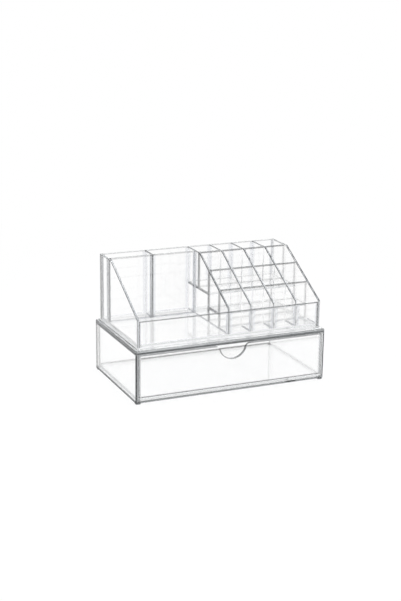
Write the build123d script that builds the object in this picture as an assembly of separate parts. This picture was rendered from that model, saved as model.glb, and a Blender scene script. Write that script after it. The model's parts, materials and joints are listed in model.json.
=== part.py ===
from build123d import *
import os

# Clear two-storey make-up organiser: a low case with one wide drawer, and on it a loose tray with
# two brush compartments, an open compact area and a stepped rack of square lipstick cells.
# Millimetres. +X runs along the width, the drawer opens towards -Y, +Z is up.
# Origin: the middle of the footprint, on the surface that the feet stand on.

os.makedirs("parts", exist_ok=True)

# ---- case ----
case_width = 238.0
case_depth = 136.0
case_height = 62.5  # from the ground to the top of the locating rim
case_wall = 3.5
base_thickness = 3.0
top_thickness = 3.0
rim_height = 1.5  # the rim that keeps the tray from sliding off
rim_width = 1.9
case_corner = 1.6  # radius of the upright corners
case_edge = 0.6  # rounding of the long edges
rim_shoulder = 1.2  # larger rounding of the outer edge at the top

foot_height = 1.2
foot_size = 6.0
foot_corner = 1.4
foot_inset = 0.5
foot_taper = 8.0  # degrees

# ---- drawer ----
drawer_front_thickness = 3.0
drawer_side_thickness = 2.5
drawer_back_thickness = 2.5
drawer_floor_thickness = 3.0
drawer_side_gap = 0.6
drawer_lower_gap = 0.4
drawer_upper_gap = 0.9
drawer_rear_gap = 2.5
notch_radius = 16.5  # half-round finger notch in the drawer front
notch_lip_radius = 7.0

# ---- tray ----
tray_height = 83.2  # from the underside of its foot ring to the top of the back
front_wall_height = 33.2  # measured from the same underside
slope_step = 1.5  # how far the sloped sheets stand above the front wall at its face
slope_lead = 2.7  # how far ahead of the last row of sheets the side walls turn into the slope
slope_corner = 3.0  # rounding where the level part turns into the slope
front_corner = 1.5  # rounding where the slope ends at the front
tray_wall = 2.5
tray_seat_gap = 0.1
tray_rim_gap = 0.4
flange_height = 3.0  # ledge around the foot of the tray, on which its walls stand
side_ledge = 2.0  # how far the ledge shows beside the walls
end_ledge = 4.2  # and in front of and behind them
ledge_edge = 1.0  # rounding of the ledge
floor_thickness = 3.0
floor_rise = 6.0  # top of the tray's floor above the underside of the foot ring
floor_skirt = 3.4  # thickness of the upright side of the raised floor

# ---- compartments of the tray ----
panel_thickness = 2.5
cell_width = 26.4
cell_depth = 26.9
column_count = 4
brush_depth = 21.5
shelf_thickness = 2.5
middle_shelf_rise = 17.5  # shelf tops above the tray's floor
back_shelf_rise = 34.0

# ---- fits and finish of the sheets ----
bond_gap = 0.08  # glue line between two sheets
slot_gap = 0.15  # play around a sheet in its slot
sheet_edge = 0.5  # polished rounding of the free edges

# ---- levels and faces worked out from the sizes above ----
base_top = foot_height + base_thickness
plate_top = case_height - rim_height
plate_bottom = plate_top - top_thickness
case_side = case_width / 2
case_front = -case_depth / 2
case_back = case_depth / 2
case_inner_side = case_side - case_wall
case_inner_back = case_back - case_wall
corner_radius = min(case_corner, 0.6 * case_wall)

drawer_side = case_inner_side - drawer_side_gap
drawer_inner_side = drawer_side - drawer_side_thickness
drawer_bottom = base_top + drawer_lower_gap
drawer_floor_top = drawer_bottom + drawer_floor_thickness
drawer_top = plate_bottom - drawer_upper_gap
drawer_rear = case_inner_back - drawer_rear_gap
drawer_front_inner = case_front + drawer_front_thickness

tray_foot = plate_top + tray_seat_gap
tray_top = tray_foot + tray_height
tray_floor = tray_foot + floor_rise
wall_foot = tray_foot + flange_height + bond_gap
front_wall_top = tray_foot + front_wall_height
flange_side = case_side - rim_width - tray_rim_gap
flange_back = case_back - rim_width - tray_rim_gap
tray_side = flange_side - side_ledge
tray_back = flange_back - end_ledge
tray_front = -tray_back
tray_inner_side = tray_side - tray_wall
tray_inner_back = tray_back - tray_wall
tray_inner_front = -tray_inner_back

# cells are counted from the right wall and from the front wall
column_pitch = cell_width + panel_thickness
row_pitch = cell_depth + panel_thickness
rack_left = tray_inner_side - column_count * column_pitch + panel_thickness
divider_left = [rack_left + cell_width + number * column_pitch for number in range(column_count - 1)]
row_names = ["front", "middle", "back"]
row_front = [tray_inner_front + cell_depth + number * row_pitch for number in range(len(row_names))]
row_back = [front + panel_thickness for front in row_front]
slope_back = row_front[-1] - slope_lead
slope_foot = front_wall_top + slope_step
slope_rate = (tray_top - slope_foot) / (slope_back - tray_front)
centre_wall_left = rack_left - panel_thickness
brush_panel_back = tray_inner_back - brush_depth
brush_panel_front = brush_panel_back - panel_thickness
brush_middle = (centre_wall_left - tray_inner_side) / 2

# the floor and the two shelves that the three rows of sheets stand on
middle_shelf = tray_floor + middle_shelf_rise
back_shelf = tray_floor + back_shelf_rise
level_ahead = [tray_floor, middle_shelf, back_shelf]
level_behind = [middle_shelf, back_shelf, back_shelf]


def save(shape, name):
    """Write one piece to its own STEP file."""
    shape.label = name
    export_step(shape, f"parts/{name}.step")
    print(f"{name}: {shape.volume / 1000:.2f} cm3")


def slab(x_range, y_range, z_range, corner=0.0):
    """A sheet or block between the given faces, with rounded upright corners if asked."""
    wide = x_range[1] - x_range[0]
    deep = y_range[1] - y_range[0]
    outline = RectangleRounded(wide, deep, corner) if corner > 0 else Rectangle(wide, deep)
    place = Location((sum(x_range) / 2, sum(y_range) / 2, z_range[0]))
    return place * extrude(outline, z_range[1] - z_range[0])


def edges_at(shape, axis, height):
    """The straight edges along one axis at one level."""
    return [edge for edge in shape.edges().filter_by(axis) if abs(edge.center().Z - height) < 1e-3]


def soften_top(sheet, axis, height):
    """Polish the two long upper edges of an upright sheet."""
    return fillet(edges_at(sheet, axis, height), sheet_edge)


def slope_height(y):
    """Height of the tray's side profile at one depth."""
    return min(tray_top, slope_foot + slope_rate * (y - tray_front))


def round_corner(outline, point, radius):
    """Round one corner of a flat outline."""
    corner = outline.vertices().sort_by_distance(Vector(*point, 0))[0]
    return fillet(corner, radius)


def profiled_sheet(x_left, thickness, ends, bottom):
    """A lengthwise sheet under the tray's side profile: level at the back, then sloping to the front."""
    front, back = ends
    nose = (front, slope_height(front))
    turn = (slope_back, tray_top)
    outline = make_face(Polyline(*bottom, (back, tray_top), turn, nose, close=True))
    outline = round_corner(outline, turn, slope_corner)
    outline = round_corner(outline, nose, front_corner)
    sheet = extrude(Plane.YZ.offset(x_left) * outline, thickness, dir=(1, 0, 0))
    crest = [edge for edge in sheet.edges() if on_crest(edge)]
    return fillet(crest, sheet_edge)


def on_crest(edge):
    """Whether an edge runs lengthwise along the upper outline of a profiled sheet."""
    middle = edge @ 0.5
    return abs((edge % 0.5).X) < 0.1 and middle.Z > slope_height(middle.Y) - front_corner


# ---- the case ----
def make_foot(x_sign, y_sign):
    """A small tapered pad under one corner of the case."""
    reach = foot_inset + foot_size / 2
    place = Location((x_sign * (case_side - reach), y_sign * (case_back - reach), foot_height))
    outline = RectangleRounded(foot_size, foot_size, foot_corner)
    return place * extrude(outline, foot_height, dir=(0, 0, -1), taper=foot_taper)


def make_base_plate():
    plate = slab((-case_side, case_side), (case_front, case_back), (foot_height, base_top), corner_radius)
    return fillet(plate.faces().sort_by(Axis.Z)[0].edges(), case_edge)


def make_top_plate():
    """The lid of the case, with a low rim around the seat of the tray."""
    plate = slab((-case_side, case_side), (case_front, case_back), (plate_bottom, case_height), corner_radius)
    seat_side = case_side - rim_width
    seat_back = case_back - rim_width
    plate -= slab((-seat_side, seat_side), (-seat_back, seat_back), (plate_top, case_height), corner_radius)
    shoulder = plate.faces().sort_by(Axis.Z)[-1].outer_wire().edges()
    plate = fillet(shoulder, min(rim_shoulder, 0.6 * rim_width, 0.8 * rim_height))
    inner_edges = plate.faces().sort_by(Axis.Z)[-1].inner_wires()[0].edges()
    return fillet(inner_edges, min(case_edge, 0.25 * rim_width, 0.8 * rim_height))


def make_case_side(x_sign):
    x_range = sorted((x_sign * case_side, x_sign * case_inner_side))
    wall = slab(x_range, (case_front, case_back), (base_top + bond_gap, plate_bottom - bond_gap))
    outer = [edge for edge in wall.edges().filter_by(Axis.Z) if abs(abs(edge.center().X) - case_side) < 1e-3]
    return fillet(outer, corner_radius)


def make_case_back():
    reach = case_inner_side - bond_gap
    return slab((-reach, reach), (case_inner_back, case_back), (base_top + bond_gap, plate_bottom - bond_gap))


save(make_base_plate(), "case_base_plate")
save(make_top_plate(), "case_top_plate")
save(make_case_back(), "case_back_wall")
for side_name, x_sign in (("left", -1), ("right", 1)):
    save(make_case_side(x_sign), f"case_{side_name}_wall")
    for end_name, y_sign in (("front", -1), ("back", 1)):
        save(make_foot(x_sign, y_sign), f"foot_{end_name}_{side_name}")


# ---- the drawer ----
def make_drawer_front():
    """The front sheet with its half-round finger notch, lips rounded into the top edge."""
    height = drawer_top - drawer_bottom
    outline = Pos(0, height / 2) * Rectangle(2 * drawer_side, height)
    outline -= Pos(0, height) * Circle(notch_radius)
    for lip_x in (-notch_radius, notch_radius):
        outline = round_corner(outline, (lip_x, height), notch_lip_radius)
    upright = Plane(origin=(0, case_front, drawer_bottom), x_dir=(1, 0, 0), z_dir=(0, -1, 0))
    sheet = extrude(upright * outline, drawer_front_thickness, dir=(0, 1, 0))
    return fillet(sheet.faces().sort_by(Axis.Y)[0].edges(), sheet_edge)


def make_drawer_floor():
    y_range = (drawer_front_inner + bond_gap, drawer_rear)
    return slab((-drawer_side, drawer_side), y_range, (drawer_bottom, drawer_floor_top))


def make_drawer_side(x_sign):
    x_range = sorted((x_sign * drawer_side, x_sign * drawer_inner_side))
    y_range = (drawer_front_inner + bond_gap, drawer_rear)
    sheet = slab(x_range, y_range, (drawer_floor_top + bond_gap, drawer_top))
    return soften_top(sheet, Axis.Y, drawer_top)


def make_drawer_back():
    reach = drawer_inner_side - bond_gap
    y_range = (drawer_rear - drawer_back_thickness, drawer_rear)
    sheet = slab((-reach, reach), y_range, (drawer_floor_top + bond_gap, drawer_top))
    return soften_top(sheet, Axis.X, drawer_top)


save(make_drawer_front(), "drawer_front")
save(make_drawer_floor(), "drawer_floor")
save(make_drawer_back(), "drawer_back")
save(make_drawer_side(-1), "drawer_left_side")
save(make_drawer_side(1), "drawer_right_side")


# ---- the tray ----
def make_tray_base():
    """A ledge that the walls stand on, around a raised floor that is hollow from below."""
    ledge_top = tray_foot + flange_height
    base = slab((-flange_side, flange_side), (-flange_back, flange_back), (tray_foot, ledge_top), corner_radius)
    base = fillet(base.faces().sort_by(Axis.Z)[-1].edges(), ledge_edge)
    side = tray_inner_side - bond_gap
    back = tray_inner_back - bond_gap
    base += slab((-side, side), (-back, back), (tray_foot, tray_floor))
    hollow_side = side - floor_skirt
    hollow_back = back - floor_skirt
    hollow_top = tray_floor - floor_thickness
    hollow = slab((-hollow_side, hollow_side), (-hollow_back, hollow_back), (tray_foot, hollow_top), floor_skirt)
    return base - hollow


def make_tray_side(x_sign):
    x_left = min(x_sign * tray_side, x_sign * tray_inner_side)
    bottom = [(tray_front, wall_foot), (tray_back, wall_foot)]
    return profiled_sheet(x_left, tray_wall, (tray_front, tray_back), bottom)


def make_tray_end(y_range, top):
    """The back or front wall, set between the two side walls."""
    reach = tray_inner_side - bond_gap
    return soften_top(slab((-reach, reach), y_range, (wall_foot, top)), Axis.X, top)


def make_centre_wall():
    ends = (tray_inner_front + bond_gap, tray_inner_back - bond_gap)
    bottom = [(end, tray_floor + bond_gap) for end in ends]
    return profiled_sheet(centre_wall_left, panel_thickness, ends, bottom)


def make_brush_panel():
    x_range = (-tray_inner_side + bond_gap, centre_wall_left - bond_gap)
    panel = slab(x_range, (brush_panel_front, brush_panel_back), (tray_floor + bond_gap, tray_top))
    return soften_top(panel, Axis.X, tray_top)


def make_brush_divider():
    x_range = (brush_middle - panel_thickness / 2, brush_middle + panel_thickness / 2)
    y_range = (brush_panel_back + bond_gap, tray_inner_back - bond_gap)
    return soften_top(slab(x_range, y_range, (tray_floor + bond_gap, tray_top)), Axis.Y, tray_top)


save(make_tray_base(), "tray_base")
save(make_tray_side(-1), "tray_left_wall")
save(make_tray_side(1), "tray_right_wall")
save(make_tray_end((tray_inner_back, tray_back), tray_top), "tray_back_wall")
save(make_tray_end((tray_front, tray_inner_front), front_wall_top), "tray_front_wall")
save(make_centre_wall(), "centre_wall")
save(make_brush_panel(), "brush_panel")
save(make_brush_divider(), "brush_divider")


# ---- the stepped lipstick rack: rows and columns halved into each other like an egg crate ----
def row_top(row):
    """Top of a crosswise sheet, flush with the slope at its front face."""
    return slope_height(row_front[row])


def halving_height(row):
    """Where the two slots of a crossing meet: half way up the part that both sheets share."""
    return (level_behind[row] + row_top(row)) / 2


def make_row_panel(row):
    """A crosswise sheet, slotted from above for the lengthwise dividers."""
    foot = back_shelf if row_front[row] > row_back[1] else tray_floor
    x_range = (rack_left + bond_gap, tray_inner_side - bond_gap)
    panel = slab(x_range, (row_front[row], row_back[row]), (foot + bond_gap, row_top(row)))
    for left in divider_left:
        slot_x = (left - slot_gap, left + panel_thickness + slot_gap)
        panel -= slab(slot_x, (row_front[row], row_back[row]), (halving_height(row), row_top(row)))
    return soften_top(panel, Axis.X, row_top(row))


def make_column_divider(left):
    """A lengthwise sheet with a stepped foot, slotted from below to drop over the crosswise sheets."""
    ends = (tray_inner_front + bond_gap, tray_inner_back - bond_gap)
    steps = [(ends[0], tray_floor + bond_gap)]
    for row in range(len(row_names) - 1):
        middle = (row_front[row] + row_back[row]) / 2
        steps += [(middle, level_ahead[row] + bond_gap), (middle, level_behind[row] + bond_gap)]
    steps.append((ends[1], back_shelf + bond_gap))
    divider = profiled_sheet(left, panel_thickness, ends, steps)
    for row in range(len(row_names)):
        slot_y = (row_front[row] - slot_gap, row_back[row] + slot_gap)
        slot_z = (level_ahead[row], halving_height(row) + slot_gap)
        divider -= slab((left, left + panel_thickness), slot_y, slot_z)
    return divider


def make_shelf(y_range, top):
    x_range = (rack_left + bond_gap, tray_inner_side - bond_gap)
    return slab(x_range, (y_range[0] + bond_gap, y_range[1] - bond_gap), (top - shelf_thickness, top))


save(make_shelf((row_back[0], row_front[1]), middle_shelf), "middle_shelf")
save(make_shelf((row_back[1], tray_inner_back), back_shelf), "back_shelf")
for row, name in enumerate(row_names):
    save(make_row_panel(row), f"row_panel_{name}")
for number, left in enumerate(divider_left, start=1):
    save(make_column_divider(left), f"column_divider_{number}")
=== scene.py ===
# Clear two-storey make-up organiser: brush cups, compact area and lipstick rack over one wide drawer.
import bpy
import json
import math
import numpy as np
from mathutils import Matrix, Vector

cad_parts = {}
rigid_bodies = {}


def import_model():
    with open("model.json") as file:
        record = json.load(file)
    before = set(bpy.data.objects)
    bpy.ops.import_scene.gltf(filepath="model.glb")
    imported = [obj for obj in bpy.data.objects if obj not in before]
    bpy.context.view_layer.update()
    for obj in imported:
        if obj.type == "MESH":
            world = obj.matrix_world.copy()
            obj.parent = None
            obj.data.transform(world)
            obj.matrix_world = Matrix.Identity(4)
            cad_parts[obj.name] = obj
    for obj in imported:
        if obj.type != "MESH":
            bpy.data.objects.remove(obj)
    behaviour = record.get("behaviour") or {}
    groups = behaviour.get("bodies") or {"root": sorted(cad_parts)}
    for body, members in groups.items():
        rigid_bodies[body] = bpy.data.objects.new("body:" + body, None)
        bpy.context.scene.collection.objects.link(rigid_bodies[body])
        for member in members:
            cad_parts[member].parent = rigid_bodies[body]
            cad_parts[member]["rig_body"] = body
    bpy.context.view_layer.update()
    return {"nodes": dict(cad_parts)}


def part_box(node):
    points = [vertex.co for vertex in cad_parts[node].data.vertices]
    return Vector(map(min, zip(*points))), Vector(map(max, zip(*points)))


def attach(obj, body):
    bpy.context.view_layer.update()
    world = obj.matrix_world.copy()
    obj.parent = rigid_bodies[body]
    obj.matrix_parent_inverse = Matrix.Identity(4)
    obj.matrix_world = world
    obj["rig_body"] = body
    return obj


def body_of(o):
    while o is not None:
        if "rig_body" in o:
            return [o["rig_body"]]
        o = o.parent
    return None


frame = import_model()
nodes = frame["nodes"]
print("frame loaded:", len(nodes), "pieces")

camera = {
    "azimuth": -24.0,  # degrees round the object, 0 is straight at its front
    "elevation": 15.66,
    "roll": 0.74,
    "distance": 1.4117,  # metres from the point that it looks at
    "target": (-0.01155, 0.0, 0.09254),
    "focalPixels": 1197.9,  # for a picture 601 pixels high
    "picturePixels": 601,
    "sensor": 36.0,  # millimetres along the picture's longer side
    "nearest": 0.05,  # metres, nothing is drawn before or past these
    "farthest": 50,
}


def placeCamera(values):
    azimuth, elevation, roll = (math.radians(values[key]) for key in ("azimuth", "elevation", "roll"))
    level = math.cos(elevation)
    back = Vector((math.sin(azimuth) * level, -math.cos(azimuth) * level, math.sin(elevation)))
    right = Vector((math.cos(azimuth), math.sin(azimuth), 0))
    up = back.cross(right)
    tiltedRight = math.cos(roll) * right + math.sin(roll) * up
    tiltedUp = -math.sin(roll) * right + math.cos(roll) * up
    data = bpy.data.cameras.new("camera")
    data.sensor_width = values["sensor"]
    data.lens = values["focalPixels"] * values["sensor"] / values["picturePixels"]
    data.clip_start = values["nearest"]
    data.clip_end = values["farthest"]
    eye = bpy.data.objects.new("camera", data)
    turn = Matrix((tiltedRight, tiltedUp, back)).transposed()
    place = Vector(values["target"]) + back * values["distance"]
    eye.matrix_world = Matrix.Translation(place) @ turn.to_4x4()
    bpy.context.scene.collection.objects.link(eye)
    bpy.context.scene.camera = eye


placeCamera(camera)
print("camera placed")


# small helpers for node trees
def addNode(tree, kind, **settings):
    node = tree.nodes.new(kind)
    for key, value in settings.items():
        setattr(node, key, value)
    return node


def feed(tree, socket, source):
    # a socket of another node is linked, anything else is written as the value
    if isinstance(source, bpy.types.NodeSocket):
        tree.links.new(source, socket)
    else:
        socket.default_value = source


def mathNode(tree, operation, *sources):
    node = addNode(tree, "ShaderNodeMath", operation=operation)
    for socket, source in zip(node.inputs, sources):
        feed(tree, socket, source)
    return node.outputs[0]


def vectorNode(tree, operation, *sources):
    node = addNode(tree, "ShaderNodeVectorMath", operation=operation)
    for socket, source in zip(node.inputs, sources):
        feed(tree, socket, source)
    return node.outputs["Value" if operation in ("DOT_PRODUCT", "LENGTH", "DISTANCE") else "Vector"]


def vectorParts(tree, vector):
    node = addNode(tree, "ShaderNodeSeparateXYZ")
    feed(tree, node.inputs[0], vector)
    return node.outputs


def mapRange(tree, value, low, high, newLow, newHigh):
    node = addNode(tree, "ShaderNodeMapRange", interpolation_type="SMOOTHSTEP")
    for socket, source in zip(node.inputs, (value, low, high, newLow, newHigh)):
        feed(tree, socket, source)
    return node.outputs[0]


def fadeOut(tree, distance, width, end):
    # 1 up to the width, falling smoothly to 0 at the end
    return mapRange(tree, distance, width, end, 1.0, 0.0)


def fadeOutEach(tree, distances, width, end):
    # the same for the three parts of a vector at once
    node = addNode(tree, "ShaderNodeMapRange", data_type="FLOAT_VECTOR", interpolation_type="SMOOTHSTEP")
    for socket, source in zip(node.inputs[6:11], (distances, width, end, (1, 1, 1), (0, 0, 0))):
        feed(tree, socket, source)
    return node.outputs[1]


def mixNumber(tree, factor, a, b):
    node = addNode(tree, "ShaderNodeMix", data_type="FLOAT")
    for key, source in (("Factor", factor), ("A", a), ("B", b)):
        feed(tree, node.inputs[key], source)
    return node.outputs["Result"]


def mixColour(tree, factor, a, b):
    node = addNode(tree, "ShaderNodeMix", data_type="RGBA")
    for key, source in (("Factor", factor), ("A", a), ("B", b)):
        feed(tree, node.inputs[key], source)
    return node.outputs["Result"]


def mixShader(tree, factor, a, b):
    node = addNode(tree, "ShaderNodeMixShader")
    for socket, source in zip(node.inputs, (factor, a, b)):
        feed(tree, socket, source)
    return node.outputs[0]


def noise(tree, vector, scale, detail=3.0):
    node = addNode(tree, "ShaderNodeTexNoise")
    for key, source in (("Vector", vector), ("Scale", scale), ("Detail", detail)):
        feed(tree, node.inputs[key], source)
    return node.outputs["Fac"]


def largest(tree, first, *others):
    for other in others:
        first = mathNode(tree, "MAXIMUM", other, first)
    return first


def newMaterial(name):
    material = bpy.data.materials.new(name)
    material.use_nodes = True
    return material, material.node_tree


sheetPattern = {
    "lineFade": 1.6,  # a painted shade line has faded out at this many times its width
    "outlineFade": 0.12,  # share of the thickness over which an outline fades out
    "edgeFacing": 0.85,  # part of the normal across the sheet, up to which a face is edge
    "flatFacing": 0.99,  # and from which it is the flat side
    "streakScale": 38.0,  # slow streaks in the painted light and shade on the middle of the edges
    "streakDetail": 4.0,
    "streakRange": (0.35, 0.68),
    "streakLeast": 0.7,
    "markScale": 26.0,  # patches of finger marks, and the fine grain in them
    "markRange": (0.52, 0.78),
    "markGrainScale": 900.0,
    "markGrainDetail": 2.0,
    "markRoughness": 0.05,
    "waveScale": 14.0,
    "waveDetail": 1.0,
}
sheetInputs = {
    "Axis": "Vector",  # across the sheet
    "Thickness": "Float",
    "Low Corner": "Vector",  # of the sheet's box: left, front, lower
    "High Corner": "Vector",  # right, back, upper
    "Low Lines": "Vector",  # strengths of the painted shade at the left, front and lower end
    "High Lines": "Vector",
    "Low Fill": "Vector",  # the same for ends that are painted dark all over
    "High Fill": "Vector",
    "Slope Normal": "Vector",  # of the plane that cuts off the sheet's upper front corner
    "Slope Offset": "Float",
    "Slope Line": "Float",
    "Ring Centre": "Vector",  # of a round notch
    "Ring Radius": "Float",
    "Ring Line": "Float",
    "Line Width": "Float",
    "Face Share": "Float",  # how strong a painted shade line is on the flat sides
    "First Outline": "Vector",  # of the painted shade on the edge: place across the thickness, half width, strength
    "Second Outline": "Vector",
    "Face Colour": "Color",
    "Painted Edge Tone": "Color",  # painted light and shade on the middle of the edges
    # colour of the painted shade lines and outlines
    "Painted Shade Colour": "Color",
    "Face Roughness": "Float",
    "Edge Roughness": "Float",
}
sheetOutputs = {"Colour": "Color", "Roughness": "Float", "Height": "Float"}


def strongestEnd(tree, entry, nearLow, nearHigh, kind):
    # the largest over the six ends of the box: how near each one is, times its strength
    low = vectorNode(tree, "MULTIPLY", nearLow, entry["Low " + kind])
    high = vectorNode(tree, "MULTIPLY", nearHigh, entry["High " + kind])
    return largest(tree, *vectorParts(tree, vectorNode(tree, "MAXIMUM", low, high)))


def buildSheetGroup(values):
    # Painted shade: a clear sheet is painted darker beside its edges, where it leads the view along itself,
    # and the middle of the edge gets a painted edge tone of light and shade. Painted shade on a flat side = for
    # each end of the sheet's box, for its slope and for its ring, strength times a fade over the distance to
    # it, and the largest of these. Painted shade on an edge = the same times the larger of two outlines, each a
    # fade around its own place across the thickness, or the fill where a whole end is painted dark.
    # Roughness = patches of slow noise times fine noise, as finger marks. Height = slow waves of the sheet.
    group = bpy.data.node_groups.new("clearSheetSurface", "ShaderNodeTree")
    for sockets, way in ((sheetInputs, "INPUT"), (sheetOutputs, "OUTPUT")):
        for name, kind in sockets.items():
            group.interface.new_socket(name=name, in_out=way, socket_type="NodeSocket" + kind)
    entry = addNode(group, "NodeGroupInput").outputs
    leave = addNode(group, "NodeGroupOutput").inputs
    place = addNode(group, "ShaderNodeTexCoord").outputs["Object"]
    normal = addNode(group, "ShaderNodeNewGeometry").outputs["True Normal"]
    facing = mathNode(group, "ABSOLUTE", vectorNode(group, "DOT_PRODUCT", normal, entry["Axis"]))
    edge = fadeOut(group, facing, values["edgeFacing"], values["flatFacing"])

    width = entry["Line Width"]
    end = mathNode(group, "MULTIPLY", width, values["lineFade"])
    fromLow = vectorNode(group, "SUBTRACT", place, entry["Low Corner"])
    fromHigh = vectorNode(group, "SUBTRACT", entry["High Corner"], place)
    nearLow, nearHigh = (fadeOutEach(group, distances, width, end) for distances in (fromLow, fromHigh))
    box, fill = (strongestEnd(group, entry, nearLow, nearHigh, kind) for kind in ("Lines", "Fill"))
    slopeHeight = vectorNode(group, "DOT_PRODUCT", place, entry["Slope Normal"])
    slopeDepth = mathNode(group, "SUBTRACT", entry["Slope Offset"], slopeHeight)
    ringReach = vectorNode(group, "DISTANCE", place, entry["Ring Centre"])
    ringDepth = mathNode(group, "SUBTRACT", ringReach, entry["Ring Radius"])
    slope, ring = (
        mathNode(group, "MULTIPLY", fadeOut(group, depth, width, end), entry[strength])
        for depth, strength in ((slopeDepth, "Slope Line"), (ringDepth, "Ring Line"))
    )
    beside = largest(group, box, slope, ring)

    across = vectorNode(group, "DOT_PRODUCT", fromLow, entry["Axis"])
    across = mathNode(group, "DIVIDE", across, entry["Thickness"])
    outlines = []
    for name in ("First Outline", "Second Outline"):
        middle, halfWidth, strength = vectorParts(group, entry[name])
        away = mathNode(group, "ABSOLUTE", mathNode(group, "SUBTRACT", across, middle))
        reach = mathNode(group, "ADD", halfWidth, values["outlineFade"])
        outlines.append(mathNode(group, "MULTIPLY", fadeOut(group, away, halfWidth, reach), strength))
    # painted shade: dark outlines on the edges and dark lines on the flat sides beside them
    outline = mathNode(group, "MULTIPLY", beside, largest(group, *outlines))
    onFace = mathNode(group, "MULTIPLY", beside, entry["Face Share"])
    line = mixNumber(group, edge, onFace, largest(group, outline, fill))

    # painted light and shade: the middle of the edges takes the painted edge tone, in slow streaks
    streakNoise = noise(group, place, values["streakScale"], values["streakDetail"])
    streaks = mapRange(group, streakNoise, *values["streakRange"], values["streakLeast"], 1.0)
    core = mathNode(group, "MULTIPLY", mathNode(group, "MULTIPLY", edge, beside), streaks)
    pale = mixColour(group, core, entry["Face Colour"], entry["Painted Edge Tone"])
    feed(group, leave["Colour"], mixColour(group, line, pale, entry["Painted Shade Colour"]))

    patches = mapRange(group, noise(group, place, values["markScale"]), *values["markRange"], 0.0, 1.0)
    grain = noise(group, place, values["markGrainScale"], values["markGrainDetail"])
    marks = mathNode(group, "MULTIPLY", patches, grain)
    faceRough = mathNode(group, "MULTIPLY_ADD", marks, values["markRoughness"], entry["Face Roughness"])
    feed(group, leave["Roughness"], mixNumber(group, edge, faceRough, entry["Edge Roughness"]))
    feed(group, leave["Height"], noise(group, place, values["waveScale"], values["waveDetail"]))
    return group


sheetGroup = buildSheetGroup(sheetPattern)

# a clear sheet's own white, with painted shade lines and a painted edge tone of light and shade
clearSheet = {
    "Face Colour": (1.0, 1.0, 1.0, 1),
    "Painted Edge Tone": (0.86, 0.88, 0.90, 1),
    "Painted Shade Colour": (0.010, 0.011, 0.013, 1),
    "Line Width": 0.0009,  # metres, of the painted shade on the faces beside an edge
    "Face Share": 0.8,
    "Face Roughness": 0.0,
    "Edge Roughness": 0.04,
}
clearBody = {
    "refraction": 1.49,  # as acrylic
    "depthColour": (0.44, 0.50, 0.53, 1),  # what deep views through the plastic turn to
    "depthDensity": 1.5,
    "waviness": 0.00002,  # metres
    "shadowColour": (0.97, 0.975, 0.98, 1),
}


def clearMaterial(name, settings, values):
    material, tree = newMaterial(name)
    shader = tree.nodes["Principled BSDF"]
    output = tree.nodes["Material Output"]
    surface = addNode(tree, "ShaderNodeGroup", node_tree=sheetGroup)
    for key, value in {**clearSheet, **settings}.items():
        surface.inputs[key].default_value = value
    feed(tree, shader.inputs["Base Color"], surface.outputs["Colour"])
    feed(tree, shader.inputs["Roughness"], surface.outputs["Roughness"])
    bump = addNode(tree, "ShaderNodeBump")
    bump.inputs["Strength"].default_value = 1.0
    bump.inputs["Distance"].default_value = values["waviness"]
    feed(tree, bump.inputs["Height"], surface.outputs["Height"])
    feed(tree, shader.inputs["Normal"], bump.outputs["Normal"])
    shader.inputs["IOR"].default_value = values["refraction"]
    shader.inputs["Transmission Weight"].default_value = 1.0
    # lamps shine through the sheets, so that the floor below stays bright
    through = addNode(tree, "ShaderNodeBsdfTransparent")
    through.inputs["Color"].default_value = values["shadowColour"]
    shadow = addNode(tree, "ShaderNodeLightPath").outputs["Is Shadow Ray"]
    feed(tree, output.inputs["Surface"], mixShader(tree, shadow, shader.outputs[0], through.outputs[0]))
    depth = addNode(tree, "ShaderNodeVolumeAbsorption")
    depth.inputs["Color"].default_value = values["depthColour"]
    depth.inputs["Density"].default_value = values["depthDensity"]
    feed(tree, output.inputs["Volume"], depth.outputs[0])
    return material


# how strongly painted shade is drawn at each end of a sheet: (left, front, lower) and (right, back, upper);
# along the sheet's own thickness it is the painted dark outline of the edge, otherwise the painted shade line
# beside it
drawerSide = ((0.5, 0.2, 0.2), (0.5, 0.4, 0.7))
rackShelf = ((1, 0.5, 0.6), (0.4, 0.5, 0.6))
columnDivider = ((1, 0.85, 0.4), (1, 0.8, 1))
edgeLines = {
    "case_base_plate": ((1, 0.75, 0.4), (0.7, 0.6, 1)),
    "case_top_plate": ((1, 0.92, 1), (0.8, 0.6, 0.8)),
    "case_left_wall": ((1, 1, 0.1), (0.35, 0.8, 0.15)),
    "case_right_wall": ((0.5, 1, 0.1), (1, 0.8, 0.15)),
    "case_back_wall": ((0.5, 0.4, 0.1), (0.5, 0.4, 0.1)),
    "drawer_front": ((0.8, 0.8, 0.1), (0.35, 0.7, 1)),
    "drawer_floor": ((0.8, 1, 0), (0.5, 0.9, 0.5)),
    "drawer_left_side": drawerSide,
    "drawer_right_side": drawerSide,
    "drawer_back": ((0.3, 0.4, 0.9), (0.3, 0.4, 0.6)),
    "tray_base": ((1, 0.35, 0.3), (0.4, 0.4, 0.1)),
    "tray_left_wall": ((1, 0.4, 0), (0.5, 1, 1)),
    "tray_right_wall": ((0.3, 0.5, 0), (1, 0.9, 1)),
    "tray_back_wall": ((0.8, 0.6, 0), (0.5, 0.6, 0.5)),
    "tray_front_wall": ((0.6, 0.9, 0), (0.8, 0.8, 1)),
    "centre_wall": ((1, 0.8, 0.6), (1, 0.7, 1)),
    "brush_panel": ((1, 0.7, 0.4), (0.45, 0.7, 0.4)),
    "brush_divider": ((1, 1, 0.4), (0.5, 0.7, 0.7)),
    "middle_shelf": rackShelf,
    "back_shelf": rackShelf,
    "row_panel_front": ((0.9, 0.8, 0.3), (0.4, 0.8, 0.8)),
    "row_panel_middle": ((1, 0.8, 0.3), (0.4, 0.8, 0.8)),
    "row_panel_back": ((1, 0.8, 0.3), (0.4, 0.8, 0.8)),
    "column_divider_1": columnDivider,
    "column_divider_2": columnDivider,
    "column_divider_3": columnDivider,
}
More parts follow.
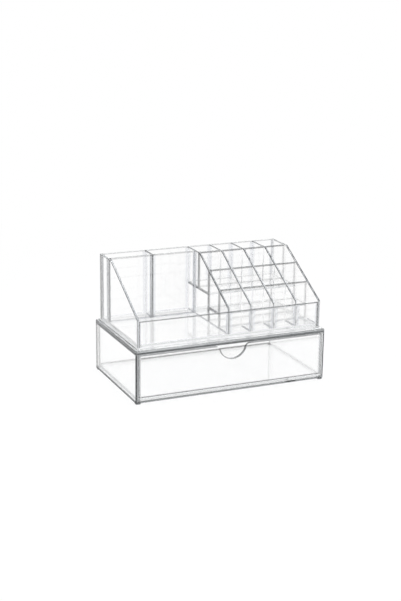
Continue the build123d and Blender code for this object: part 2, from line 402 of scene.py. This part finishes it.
# where a sheet differs: painted shade outlines are (place across the thickness, half width, strength); a fill
# paints shade over a whole end, as where the end of a sheet meets another sheet and the view runs into the
# joint
# painted edge tone: light and shade on the middle of the edges, paler or darker per sheet
paleCore = (0.98, 0.98, 0.98, 1)
darkEnd = {"Low Fill": (1.0, 0.0, 0.0), "Line Width": 0.0015}
thinRack = {
    "First Outline": (0.0, 0.26, 1),
    "Second Outline": (1.0, 0.12, 0.6),
    "Face Share": 0.45,
    "High Fill": (0.0, 0.35, 0.0),
}
sheetExtras = {
    "case_top_plate": {
        "First Outline": (0.33, 0.18, 1),
        "Second Outline": (0.97, 0.07, 0.75),
        "Face Share": 0.3,
        "Painted Edge Tone": (0.42, 0.44, 0.45, 1),
    },
    "case_base_plate": {
        "First Outline": (0.03, 0.05, 0.4),
        "Second Outline": (0.66, 0.34, 1),
        "Face Share": 0.2,
        "Painted Edge Tone": (0.90, 0.92, 0.93, 1),
    },
    "case_left_wall": {
        "First Outline": (0.0, 0.4, 1),
        "Second Outline": (1.0, 0.05, 0.2),
        "Painted Edge Tone": paleCore,
    },
    "case_right_wall": {
        "First Outline": (0.0, 0.08, 0.3),
        "Second Outline": (1.0, 0.56, 1),
        "Painted Edge Tone": paleCore,
    },
    "drawer_floor": {
        "Second Outline": (1.0, 0.19, 1),
        "Line Width": 0.0015,
        "Face Share": 0.5,
        "Painted Edge Tone": (1.0, 1.0, 1.0, 1),
    },
    "drawer_front": {"Line Width": 0.0008, "High Fill": (0.0, 0.0, 0.8)},
    "tray_base": {
        "First Outline": (0.12, 0.08, 0.5),
        "Face Share": 0.05,
        "Painted Edge Tone": (0.88, 0.9, 0.92, 1),
    },
    "tray_left_wall": {
        "First Outline": (0.0, 0.24, 0.7),
        "Face Share": 0.4,
        "Painted Edge Tone": (0.62, 0.64, 0.67, 1),
    },
    "tray_right_wall": {"Second Outline": (1.0, 0.4, 1), "Face Share": 0.4},
    "centre_wall": {
        "First Outline": (0.0, 0.26, 1),
        "Second Outline": (1.0, 0.12, 0.7),
        "Face Share": 0.4,
        "High Fill": (0.0, 0.55, 0.0),
    },
    "brush_panel": {
        **darkEnd,
        "Low Fill": (0.35, 0.0, 0.0),
        "High Fill": (0.1, 0.0, 0.0),
        "Painted Edge Tone": (0.8, 0.82, 0.84, 1),
    },
    "brush_divider": {
        "First Outline": (0.0, 0.42, 1),
        "Second Outline": (1.0, 0.08, 0.4),
        "Low Fill": (0.0, 0.45, 0.0),
        "High Fill": (0.0, 0.6, 0.0),
    },
    "middle_shelf": darkEnd,
    "back_shelf": darkEnd,
    "row_panel_front": {**darkEnd, "Low Fill": (0.7, 0.0, 0.0)},
    "row_panel_middle": darkEnd,
    "row_panel_back": darkEnd,
    "column_divider_1": thinRack,
    "column_divider_2": thinRack,
    "column_divider_3": thinRack,
}
outlineHalfWidth = 0.19  # of the thickness, where a sheet has no outline of its own above
trayWalls = ("tray_left_wall", "tray_right_wall", "centre_wall")
columns = tuple(f"column_divider_{number}" for number in (1, 2, 3))
traySlope = {
    "step": 0.0015,  # metres that it starts above the front wall
    "lead": 0.0027,  # and ends ahead of the last row of sheets
    "line": 1.0,
}
fingerNotch = {"radius": 0.0165, "line": 1.0}
noSlope = 10.0  # an offset past every sheet


def slopeSettings(values):
    frontY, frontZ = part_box("tray_front_wall")[0][1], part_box("tray_front_wall")[1][2] + values["step"]
    backY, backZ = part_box("row_panel_back")[0][1] - values["lead"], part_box("tray_back_wall")[1][2]
    run, rise = backY - frontY, backZ - frontZ
    length = math.hypot(run, rise)
    normal = (0.0, -rise / length, run / length)
    offset = normal[1] * frontY + normal[2] * frontZ
    return {"Slope Normal": normal, "Slope Offset": offset, "Slope Line": values["line"]}


def notchSettings(values):
    # a ring around the middle of the drawer front's upper edge
    low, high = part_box("drawer_front")
    centre = ((low[0] + high[0]) / 2, (low[1] + high[1]) / 2, high[2])
    return {"Ring Centre": centre, "Ring Radius": values["radius"], "Ring Line": values["line"]}


def sheetSettings(name):
    low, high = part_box(name)
    thin = min(range(3), key=lambda i: high[i] - low[i])
    lowLines, highLines = edgeLines[name]
    settings = {
        "Axis": tuple(float(i == thin) for i in range(3)),
        "Thickness": high[thin] - low[thin],
        "Low Corner": tuple(low),
        "High Corner": tuple(high),
        "Low Lines": tuple(0.0 if i == thin else lowLines[i] for i in range(3)),
        "High Lines": tuple(0.0 if i == thin else highLines[i] for i in range(3)),
        "First Outline": (0.0, outlineHalfWidth, lowLines[thin]),
        "Second Outline": (1.0, outlineHalfWidth, highLines[thin]),
        "Slope Offset": noSlope,
    }
    if name in trayWalls + columns:
        settings.update(slopeSettings(traySlope))
    if name == "drawer_front":
        settings.update(notchSettings(fingerNotch))
    return {**settings, **sheetExtras.get(name, {})}


footPad = {
    "colour": (0.12, 0.13, 0.14, 1),
    "darker": 0.6,  # times the colour, in the dark grains
    "grainScale": 1500.0,  # waves to a metre, roughly
    "grainDetail": 2.0,
    "grainRange": (0.3, 0.7),
    "roughness": (0.32, 0.5),
    "refraction": 1.42,
}


def padMaterial(values):
    # clear soft bumpers: dark in the thick of them, a little frosted, with fine grain
    material, tree = newMaterial("foot_pad_soft")
    shader = tree.nodes["Principled BSDF"]
    place = addNode(tree, "ShaderNodeTexCoord").outputs["Object"]
    grain = noise(tree, place, values["grainScale"], values["grainDetail"])
    darker = tuple(values["darker"] * part for part in values["colour"][:3]) + (1,)
    feed(tree, shader.inputs["Base Color"], mixColour(tree, grain, darker, values["colour"]))
    feed(tree, shader.inputs["Roughness"], mapRange(tree, grain, *values["grainRange"], *values["roughness"]))
    shader.inputs["Transmission Weight"].default_value = 1.0
    shader.inputs["IOR"].default_value = values["refraction"]
    return material


def dressNodes():
    padFinish = padMaterial(footPad)
    for name, piece in nodes.items():
        isPad = name.startswith("foot_")
        finish = padFinish if isPad else clearMaterial("clear_" + name, sheetSettings(name), clearBody)
        piece.data.materials.clear()
        piece.data.materials.append(finish)


dressNodes()
print("materials set")

cornerBead = {
    "reach": 0.0028,  # metres, how far an upright bead spreads along each of the two sheets
    "floorReach": 0.0009,  # the same for the beads along the floor
    "clearance": 0.00004,  # from a bead to the sheets that it lies on
    "foot": 0.0002,  # from the floor up to an upright bead
    "top": 0.0012,  # from an upright bead's top up to the wall's top
    "floorGap": 0.0006,  # from an upright bead to the end of a floor bead
    "steps": 8,  # flat strips round the hollow
    "colour": (0.90, 0.91, 0.93, 1),
    "leftShade": (0.35, 0.36, 0.38, 1),  # painted shade: darker beside the left wall
    "floorShade": (0.6, 0.61, 0.63, 1),  # painted shade on the beads along the floor, from front to back
}


def beadSection(reach, steps):
    # the corner, then a hollow quarter circle: x = reach (1 - sin t), y = reach (1 - cos t),
    # with t from 0 to 90 degrees
    t = np.linspace(0.0, math.pi / 2, steps + 1)
    curve = np.stack([reach * (1 - np.sin(t)), reach * (1 - np.cos(t))], axis=1)
    return np.vstack([[0.0, 0.0], curve])


def addBeads(name, runs, reach, colour, values):
    # a run is a corner, an axis, a far end and two sides, and carries the section along that axis:
    # place = corner + side times section across the axis, from the corner's own place along it to the far end
    section = beadSection(reach, values["steps"]) + values["clearance"]
    count = len(section)
    here = np.arange(count)
    after = np.roll(here, -1)
    walls = np.stack([here, after, after + count, here + count], axis=1)
    points, faces = [], []
    for corner, along, far, sides in runs:
        across = [i for i in range(3) if i != along]
        piece = np.tile(np.array(corner), (2, count, 1))
        piece[:, :, across] += section * np.array(sides)
        piece[1, :, along] = far
        # the section runs the other way round where it is mirrored once, and along the middle axis
        mirrored = sides[0] * sides[1] * (-1 if along == 1 else 1) < 0
        first = 2 * count * len(points)
        parts = (walls + first).tolist() + [(here[::-1] + first).tolist(), (here + count + first).tolist()]
        faces += [face[::-1] if mirrored else face for face in parts]
        points.append(piece.reshape(-1, 3))
    mesh = bpy.data.meshes.new(name)
    mesh.from_pydata(np.concatenate(points).tolist(), [], faces)
    beads = bpy.data.objects.new(name, mesh)
    bpy.context.scene.collection.objects.link(beads)
    # the bead's tone, painted shade on the beads beside the left wall and along the floor, is both its face
    # colour and its painted edge tone
    beadToneAndShade = {"Face Colour": colour, "Painted Edge Tone": colour}
    mesh.materials.append(clearMaterial("clear_" + name, beadToneAndShade, clearBody))
    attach(beads, body_of(nodes["tray_base"])[0])


def trayRooms(values):
    # the free rooms on the tray's floor: x from and to, y from and to, tops of the front and back beads;
    # the cells of the front row have none at the back
    left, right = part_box("tray_left_wall")[1][0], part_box("tray_right_wall")[0][0]
    front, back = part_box("tray_front_wall")[1][1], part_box("tray_back_wall")[0][1]
    frontTop, backTop = (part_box(name)[1][2] - values["top"] for name in ("tray_front_wall", "tray_back_wall"))
    centre, panel, divider = (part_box(name) for name in ("centre_wall", "brush_panel", "brush_divider"))
    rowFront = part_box("row_panel_front")[0][1]
    cellLefts = [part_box(name)[1][0] for name in ("centre_wall",) + columns]
    cellRights = [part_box(name)[0][0] for name in columns] + [right]
    rooms = [
        (left, centre[0][0], front, panel[0][1], frontTop, backTop),
        (left, divider[0][0], panel[1][1], back, backTop, backTop),
        (divider[1][0], centre[0][0], panel[1][1], back, backTop, backTop),
    ]
    rooms += [(low, high, front, rowFront, frontTop, None) for low, high in zip(cellLefts, cellRights)]
    return rooms


def floorRuns(rooms, values):
    # along the foot of the walls, between the upright beads
    floorTop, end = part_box("tray_base")[1][2], values["reach"] + values["floorGap"]
    runs = []
    for xLow, xHigh, yLow, yHigh, *_ in rooms:
        for x, side in ((xLow, 1), (xHigh, -1)):
            runs.append(((x, yLow + end, floorTop), 1, yHigh - end, (side, 1)))
        for y, side in ((yLow, 1), (yHigh, -1)):
            runs.append(((xLow + end, y, floorTop), 0, xHigh - end, (side, 1)))
    return runs


def uprightRuns(rooms, values):
    # in the corners of the rooms, and in the back corners of the cells above the back shelf
    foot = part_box("tray_base")[1][2] + values["foot"]
    shelfFoot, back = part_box("back_shelf")[1][2] + values["foot"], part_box("tray_back_wall")[0][1]
    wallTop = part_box("tray_back_wall")[1][2] - values["top"]
    runs = []
    for xLow, xHigh, yLow, yHigh, frontTop, backTop in rooms:
        for x, side in ((xLow, 1), (xHigh, -1)):
            runs.append(((x, yLow, foot), 2, frontTop, (side, 1)))
            if backTop:
                runs.append(((x, yHigh, foot), 2, backTop, (side, -1)))
            else:
                runs.append(((x, back, shelfFoot), 2, wallTop, (side, -1)))
    return runs


def buildCornerBeads(values):
    rooms = trayRooms(values)
    upright, flat = uprightRuns(rooms, values), floorRuns(rooms, values)
    left, front = rooms[0][0], rooms[0][2]
    besideLeft = [run for run in upright if run[0][0] == left and run[0][1] != front]
    lengthwise = [run for run in flat if run[1] == 1]
    footOfLeft = [run for run in lengthwise if run[0][0] == left]
    others = [run for run in upright if run not in besideLeft]
    elsewhere = [run for run in lengthwise if run not in footOfLeft]
    crosswise = [run for run in flat if run[1] == 0]
    reach, floorReach = values["reach"], values["floorReach"]
    addBeads("tray_left_beads", besideLeft, reach, values["leftShade"], values)
    addBeads("tray_corner_beads", others, reach, values["colour"], values)
    addBeads("tray_floor_left_beads", footOfLeft, floorReach, values["leftShade"], values)
    addBeads("tray_floor_side_beads", elsewhere, floorReach, values["floorShade"], values)
    addBeads("tray_floor_cross_beads", crosswise, floorReach, values["colour"], values)


buildCornerBeads(cornerBead)
print("corner beads built")

studioFloor = {
    "size": 8.0,  # metres
    "squares": 8,
    "colour": (0.86, 0.865, 0.87, 1),
    "whiteNear": 0.85,  # share of plain white that a look at the floor gets, beside the object
    "whiteReach": (0.25, 0.9),  # metres from the middle, over which it rises to 1
}
studioWorld = {
    "light": 0.85,  # level of the plain light from all round
    "zenith": (0.85, 0.87, 0.89, 1),
    "zenithRange": (0.45, 0.85),  # sine of the height, over which white turns to it
}
softboxes = {
    "softboxLeft": {"place": (-0.9, -0.7, 1.1), "size": (0.7, 0.5), "power": 7},
    "softboxTop": {"place": (0.3, 0.2, 1.5), "size": (0.9, 0.6), "power": 6},
}
softboxTarget = (0, 0, 0.06)
lightBounces = 64  # enough for a look through all the sheets
white = (1, 1, 1, 1)


def seenRay(tree):
    # 1 for looks straight at a surface, in a reflection or through the plastic, 0 for light that it gives
    path = addNode(tree, "ShaderNodeLightPath")
    return largest(tree, *(path.outputs[f"Is {kind} Ray"] for kind in ("Transmission", "Glossy", "Camera")))


def buildFloor(values):
    # a flat square grid, x and y linear in the two parameters
    count = values["squares"]
    steps = np.linspace(-0.5, 0.5, count + 1) * values["size"]
    x, y = np.meshgrid(steps, steps)
    points = np.stack([x.ravel(), y.ravel(), np.zeros(x.size)], axis=1)
    row, column = np.meshgrid(np.arange(count), np.arange(count), indexing="ij")
    corner = (row * (count + 1) + column).ravel()
    faces = np.stack([corner, corner + 1, corner + count + 2, corner + count + 1], axis=1)
    mesh = bpy.data.meshes.new("floor")
    mesh.from_pydata(points.tolist(), [], faces.tolist())
    floor = bpy.data.objects.new("floor", mesh)
    bpy.context.scene.collection.objects.link(floor)
    material, tree = newMaterial("pale_floor")
    tree.nodes.remove(tree.nodes["Principled BSDF"])
    plain = addNode(tree, "ShaderNodeBsdfDiffuse")
    plain.inputs["Color"].default_value = values["colour"]
    bright = addNode(tree, "ShaderNodeEmission")
    bright.inputs["Color"].default_value = white
    place = addNode(tree, "ShaderNodeTexCoord").outputs["Object"]
    reach = vectorNode(tree, "LENGTH", place)
    share = mapRange(tree, reach, *values["whiteReach"], values["whiteNear"], 1.0)
    share = mathNode(tree, "MULTIPLY", seenRay(tree), share)
    blend = mixShader(tree, share, plain.outputs[0], bright.outputs[0])
    feed(tree, tree.nodes["Material Output"].inputs["Surface"], blend)
    mesh.materials.append(material)


def buildWorld(values):
    # white all round for the camera, a little grey overhead in reflections, and a plain level of light
    world = bpy.data.worlds.new("studio")
    bpy.context.scene.world = world
    world.use_nodes = True
    tree = world.node_tree
    background = tree.nodes["Background"]
    direction = addNode(tree, "ShaderNodeTexCoord").outputs["Generated"]
    height = mapRange(tree, vectorParts(tree, direction)["Z"], *values["zenithRange"], 0.0, 1.0)
    dome = mixColour(tree, height, white, values["zenith"])
    straight = addNode(tree, "ShaderNodeLightPath").outputs["Is Camera Ray"]
    lit = (values["light"],) * 3 + (1,)
    seenColour = mixColour(tree, straight, dome, white)
    feed(tree, background.inputs["Color"], mixColour(tree, seenRay(tree), lit, seenColour))
    background.inputs["Strength"].default_value = 1.0


def addSoftbox(name, values):
    data = bpy.data.lights.new(name, "AREA")
    data.shape = "RECTANGLE"
    data.size, data.size_y = values["size"]
    data.energy = values["power"]
    lamp = bpy.data.objects.new(name, data)
    lamp.location = values["place"]
    aim = Vector(softboxTarget) - Vector(values["place"])
    lamp.rotation_euler = aim.to_track_quat("-Z", "Y").to_euler()
    bpy.context.scene.collection.objects.link(lamp)


buildFloor(studioFloor)
buildWorld(studioWorld)
for name, values in softboxes.items():
    addSoftbox(name, values)

scene = bpy.context.scene
scene.view_settings.view_transform = "Standard"
for limit in ("max_bounces", "transmission_bounces", "glossy_bounces", "transparent_max_bounces"):
    setattr(scene.cycles, limit, lightBounces)
print("studio ready")
